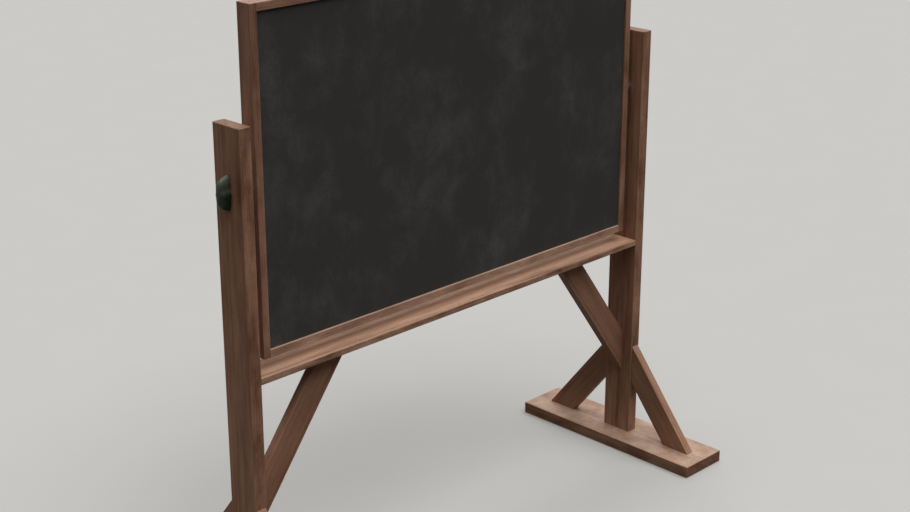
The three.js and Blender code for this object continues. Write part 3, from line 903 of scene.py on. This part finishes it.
def screw_tree():
    """Node tree that sets a cross-recess screw on each point, facing along its outward vector."""
    tree = bpy.data.node_groups.new("countersunk_screws", "GeometryNodeTree")
    tree.interface.new_socket("Geometry", in_out="INPUT", socket_type="NodeSocketGeometry")
    for kind, names in SCREW_INPUTS.items():
        for name in names:
            tree.interface.new_socket(name, in_out="INPUT", socket_type="NodeSocket" + kind)
    tree.interface.new_socket("Geometry", in_out="OUTPUT", socket_type="NodeSocketGeometry")
    given = add(tree, "NodeGroupInput").outputs
    head_radius, head_height = given["Head Radius"], given["Head Height"]
    core_radius, thread_radius = given["Core Radius"], given["Thread Radius"]

    # Head, from its face at the point down to the core
    head_low = add(tree, "ShaderNodeMath", {0: head_height, 1: -1}, operation="MULTIPLY")
    head = screw_cone(tree, SCREW_SIDES, head_radius, core_radius, head_height, head_low)

    # Core, from inside the head to a point at full length
    tip = add(tree, "ShaderNodeMath", {0: given["Length"], 1: -1}, operation="MULTIPLY")
    point_height = add(tree, "ShaderNodeMath", {0: thread_radius, 1: POINT_LENGTH}, operation="MULTIPLY")
    point = screw_cone(tree, THREAD_SIDES, core_radius, POINT_RADIUS, point_height, tip)
    inside = add(tree, "ShaderNodeMath", {0: head_low, 1: 0.5}, operation="MULTIPLY")
    below = add(tree, "ShaderNodeMath", {0: given["Length"], 1: point_height}, operation="SUBTRACT")
    core_height = add(tree, "ShaderNodeMath", {0: below, 1: inside}, operation="ADD")
    core_low = add(tree, "ShaderNodeMath", {0: tip, 1: point_height}, operation="ADD")
    core = screw_cone(tree, THREAD_SIDES, core_radius, core_radius, core_height, core_low)

    # Threads, as sharp collars up the core from the point
    start = add(tree, "ShaderNodeCombineXYZ", {"Z": core_low})
    rise = add(tree, "ShaderNodeCombineXYZ", {"Z": given["Pitch"]})
    stack = add(tree, "GeometryNodeMeshLine",
                {"Count": given["Threads"], "Start Location": start, "Offset": rise}, mode="OFFSET")
    collar_height = add(
        tree, "ShaderNodeMath", {0: given["Pitch"], 1: COLLAR_HEIGHT}, operation="MULTIPLY")
    collar_foot = add(tree, "ShaderNodeMath", {0: core_radius, 1: COLLAR_FOOT}, operation="MULTIPLY")
    collar = screw_cone(tree, THREAD_SIDES, thread_radius, collar_foot, collar_height)
    collars = add(tree, "GeometryNodeInstanceOnPoints", {"Points": stack, "Instance": collar})
    threads = add(tree, "GeometryNodeRealizeInstances", {"Geometry": collars})

    # Cross recess, from two tapered blades
    blade_radius = add(tree, "ShaderNodeMath", {0: head_radius, 1: BLADE_RADIUS}, operation="MULTIPLY")
    blade_foot = add(tree, "ShaderNodeMath", {0: head_radius, 1: BLADE_FOOT}, operation="MULTIPLY")
    blade_low = add(tree, "ShaderNodeMath", {0: head_low, 1: BLADE_DEPTH}, operation="MULTIPLY")
    blade = screw_cone(tree, BLADE_SIDES, blade_radius, blade_foot, head_height, blade_low)
    blades = [
        add(tree, "GeometryNodeTransform", {"Geometry": blade, "Scale": scale})
        for scale in ((1, BLADE_THINNESS, 1), (BLADE_THINNESS, 1, 1))
    ]
    body = joined(tree, (head, core, point, threads))
    screw = add(tree, "GeometryNodeMeshBoolean", {
        "Mesh 1": body, "Mesh 2": joined(tree, blades),
    }, operation="DIFFERENCE", solver="MANIFOLD")

    # Each screw faces outwards, and stopped turning at its own angle
    outward = add(tree, "GeometryNodeInputNamedAttribute", {"Name": "outward"}, data_type="FLOAT_VECTOR")
    aimed = add(tree, "FunctionNodeAlignRotationToVector", {"Vector": outward}, axis="Z")
    angle = add(tree, "FunctionNodeRandomValue",
                {LEAST: 0, MOST: 2 * math.pi, "Seed": given["Seed"]}, data_type="FLOAT")
    spin = add(tree, "FunctionNodeAxisAngleToRotation", {"Axis": (0, 0, 1), "Angle": angle})
    turned = add(tree, "FunctionNodeRotateRotation",
                 {"Rotation": aimed, "Rotate By": spin}, rotation_space="LOCAL")
    spread = add(tree, "GeometryNodeInstanceOnPoints",
                 {"Points": given["Geometry"], "Instance": screw, "Rotation": turned})
    real = add(tree, "GeometryNodeRealizeInstances", {"Geometry": spread})
    dressed = add(tree, "GeometryNodeSetMaterial", {"Geometry": real, "Material": given["Material"]})
    add(tree, "NodeGroupOutput", {"Geometry": dressed})
    return tree


def screw_set(name, tree, places, values):
    """One mesh of screws at the given places, each a point and an outward vector."""
    cloud = bpy.data.meshes.new(name + "_places")
    cloud.from_pydata([place for place, _ in places], [], [])
    outward = cloud.attributes.new("outward", "FLOAT_VECTOR", "POINT")
    for entry, (_, direction) in zip(outward.data, places):
        entry.vector = direction
    maker = new_object(name + "_maker", cloud)
    modifier = maker.modifiers.new("screws", "NODES")
    modifier.node_group = tree
    for socket in tree.interface.items_tree:
        if socket.in_out == "INPUT" and socket.name in values:
            modifier[socket.identifier] = values[socket.name]
    graph = bpy.context.evaluated_depsgraph_get()
    mesh = bpy.data.meshes.new_from_object(maker.evaluated_get(graph), depsgraph=graph)
    maker.modifiers.remove(modifier)
    bpy.data.objects.remove(maker)
    if not mesh.polygons:
        raise RuntimeError(name + ": the screw tree made no mesh")
    mesh.name = name
    return new_object(name, mesh)


def screw_place(node):
    """Middle of a screw's head, and the way it faces: down under a foot, or outwards in a stile."""
    low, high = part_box(node)
    middle = (low + high) / 2
    if "_frame_" not in node:
        return (middle.x, middle.y, low.z), (0, 0, -1)
    sign = OUTWARDS[node.split("_")[0]]
    return (low.x if sign < 0 else high.x, middle.y, middle.z), (sign, 0, 0)


def screw_values(node, head, thread, pitch, material):
    """Inputs of the screw tree for screws as long as a frame node."""
    low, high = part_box(node)
    length = max(high - low)
    core = thread * CORE_RADIUS
    return {
        "Head Radius": head, "Head Height": head - core, "Thread Radius": thread, "Core Radius": core,
        "Length": length, "Pitch": pitch, "Threads": int(THREADED_LENGTH * length / pitch),
        "Seed": SCREW_SEED, "Material": material,
    }


class CHALKBOARD_OT_wood_screws(bpy.types.Operator):
    """Countersunk cross-recess screws under the feet and in the stiles."""

    bl_idname = "chalkboard.wood_screws"
    bl_label = "Wood Screws"

    def execute(self, context):
        own = context.scene.chalkboard_screw
        zinc = bpy.data.materials["zinc_plated_turned_steel"]
        # The oil was wiped over the heads in the stiles, and dulled their zinc to a dark brown grey
        dulled = zinc_material(
            "oil_dulled_zinc_plated_steel", fresh="#6E5D50", worn="#4A3A2E", smooth=0.5, rough=0.7)
        tree = screw_tree()
        screws = sorted(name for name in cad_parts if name.endswith("_screw"))
        under = [name for name in screws if "_frame_" not in name]
        beside = [name for name in screws if "_frame_" in name]
        values = screw_values(under[-1], own.foot_head, own.foot_shank, own.pitch, zinc)
        foot = screw_set("foot_screws", tree, [screw_place(node) for node in under], values)
        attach(foot, "stand")
        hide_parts(*under)
        values = screw_values(beside[-1], own.frame_head, own.frame_shank, own.pitch, dulled)
        stile = screw_set("stile_screws", tree, [screw_place(node) for node in beside], values)
        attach(stile, "board")
        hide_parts(*beside)
        return {"FINISHED"}


# Floor, light and camera

FLOOR_REACH = 60
FLOOR_MOTTLE = 0.97
FLOOR_PATCHES = 5
KEY_SOFTNESS = math.radians(72)
FAR_FILL_SOFTNESS = math.radians(60)
FAR_FILL_TRAVEL = (-0.66, -0.66, -0.36)
# The floor returns little light, so that faces turned from the lamp stay as dark as in the photograph
FLOOR_BOUNCE = "#3C342E"
CAMERA_PLACE = (-2.70935, -2.69505, 2.10607)
CAMERA_TURN = (math.pi / 2 - 0.347563, 0, -0.787603)
# The sensor in millimetres, and how far the camera sees in metres
SENSOR_WIDTH = 36
SIGHT_REACH = 500


def seen_share(tree):
    """Share of rays that show the background: camera, glossy and transmission rays."""
    rays = add(tree, "ShaderNodeLightPath").outputs
    near = add(
        tree, "ShaderNodeMath", {0: rays["Is Camera Ray"], 1: rays["Is Glossy Ray"]}, operation="MAXIMUM")
    return add(tree, "ShaderNodeMath", {0: near, 1: rays["Is Transmission Ray"]}, operation="MAXIMUM")


def floor_material(own):
    """Matt studio paint on a level floor: pale to the eye, with a faint mottle from the roller."""
    material, tree, where = new_material("rolled_studio_floor")
    mottle = add(
        tree, "ShaderNodeTexNoise", {"Vector": where["Object"], "Scale": FLOOR_PATCHES, "Detail": 3})
    darker = [level * FLOOR_MOTTLE for level in own.floor[:3]] + [1]
    shown = add(
        tree, "ShaderNodeMix", {FACTOR: mottle, FIRST: own.floor, SECOND: darker}, data_type="RGBA")
    colour = add(tree, "ShaderNodeMix",
                 {FACTOR: seen_share(tree), FIRST: shade(FLOOR_BOUNCE), SECOND: shown}, data_type="RGBA")
    give_surface(tree, {"Base Color": colour, "Roughness": 1, "Specular IOR Level": 0})
    return material


class CHALKBOARD_OT_studio(bpy.types.Operator):
    """Pale floor, plain background, overhead light and the camera."""

    bl_idname = "chalkboard.studio"
    bl_label = "Studio"

    def execute(self, context):
        own = context.scene.chalkboard_studio
        scene = context.scene
        mesh = bpy.data.meshes.new("floor")
        corners = [(x * FLOOR_REACH, y * FLOOR_REACH, 0) for x, y in ((-1, -1), (1, -1), (1, 1), (-1, 1))]
        mesh.from_pydata(corners, [], [(0, 1, 2, 3)])
        mesh.materials.append(floor_material(own))
        floor = new_object("floor", mesh)

        travel = Vector(FAR_FILL_TRAVEL).normalized()
        for name, energy, softness, turn in (
            ("overhead_key", own.key, KEY_SOFTNESS, (own.key_tilt, 0, 0)),
            ("far_fill", own.far_fill, FAR_FILL_SOFTNESS, travel.to_track_quat("-Z", "Y").to_euler()),
        ):
            lamp = bpy.data.lights.new(name, "SUN")
            lamp.energy = energy
            lamp.angle = softness
            new_object(name, lamp).rotation_euler = turn

        world = bpy.data.worlds.new("studio")
        world.use_nodes = True
        tree = world.node_tree
        tree.nodes.clear()
        # The background is as bright as the lit floor, so that no horizon shows
        sunlight = own.key * math.cos(own.key_tilt) - own.far_fill * travel.z
        level = sunlight / math.pi + own.fill
        lit_floor = [min(1, part * level) for part in own.floor[:3]] + [1]
        even_light = (own.fill, own.fill, own.fill, 1)
        colour = add(tree, "ShaderNodeMix",
                     {FACTOR: seen_share(tree), FIRST: even_light, SECOND: lit_floor}, data_type="RGBA")
        background = add(tree, "ShaderNodeBackground", {"Color": colour, "Strength": 1})
        add(tree, "ShaderNodeOutputWorld", {"Surface": background})
        scene.world = world

        lens = bpy.data.cameras.new("camera")
        lens.sensor_width = SENSOR_WIDTH
        lens.lens = own.lens
        lens.clip_end = SIGHT_REACH
        camera = new_object("camera", lens)
        camera.location = CAMERA_PLACE
        camera.rotation_euler = CAMERA_TURN
        scene.camera = camera
        scene.view_settings.view_transform = "Standard"
        return {"FINISHED"}


OPERATORS = (
    CHALKBOARD_OT_studio,
    CHALKBOARD_OT_stand_timber,
    CHALKBOARD_OT_frame_timber,
    CHALKBOARD_OT_hidden_timber,
    CHALKBOARD_OT_writing_faces,
    CHALKBOARD_OT_pivot_hardware,
    CHALKBOARD_OT_wing_knobs,
    CHALKBOARD_OT_wood_screws,
)


class CHALKBOARD_PT_sidebar(bpy.types.Panel):
    """Lists the settings and the steps."""

    bl_label = "Chalkboard"
    bl_idname = "CHALKBOARD_PT_sidebar"
    bl_space_type = "VIEW_3D"
    bl_region_type = "UI"
    bl_category = "Chalkboard"

    def draw(self, context):
        for name, group in SETTINGS.items():
            box = self.layout.box()
            for setting in group.__annotations__:
                box.prop(getattr(context.scene, name), setting)
        for operator in OPERATORS:
            self.layout.operator(operator.bl_idname)


def register():
    for group in SETTINGS.values():
        bpy.utils.register_class(group)
    for operator in OPERATORS:
        bpy.utils.register_class(operator)
    bpy.utils.register_class(CHALKBOARD_PT_sidebar)
    for name, group in SETTINGS.items():
        setattr(bpy.types.Scene, name, bpy.props.PointerProperty(type=group))


def unregister():
    for name in SETTINGS:
        delattr(bpy.types.Scene, name)
    bpy.utils.unregister_class(CHALKBOARD_PT_sidebar)
    for operator in reversed(OPERATORS):
        bpy.utils.unregister_class(operator)
    for group in reversed(list(SETTINGS.values())):
        bpy.utils.unregister_class(group)


def main():
    register()
    for operator in OPERATORS:
        family, step = operator.bl_idname.split(".")
        getattr(getattr(bpy.ops, family), step)()


if __name__ == "__main__":
    main()
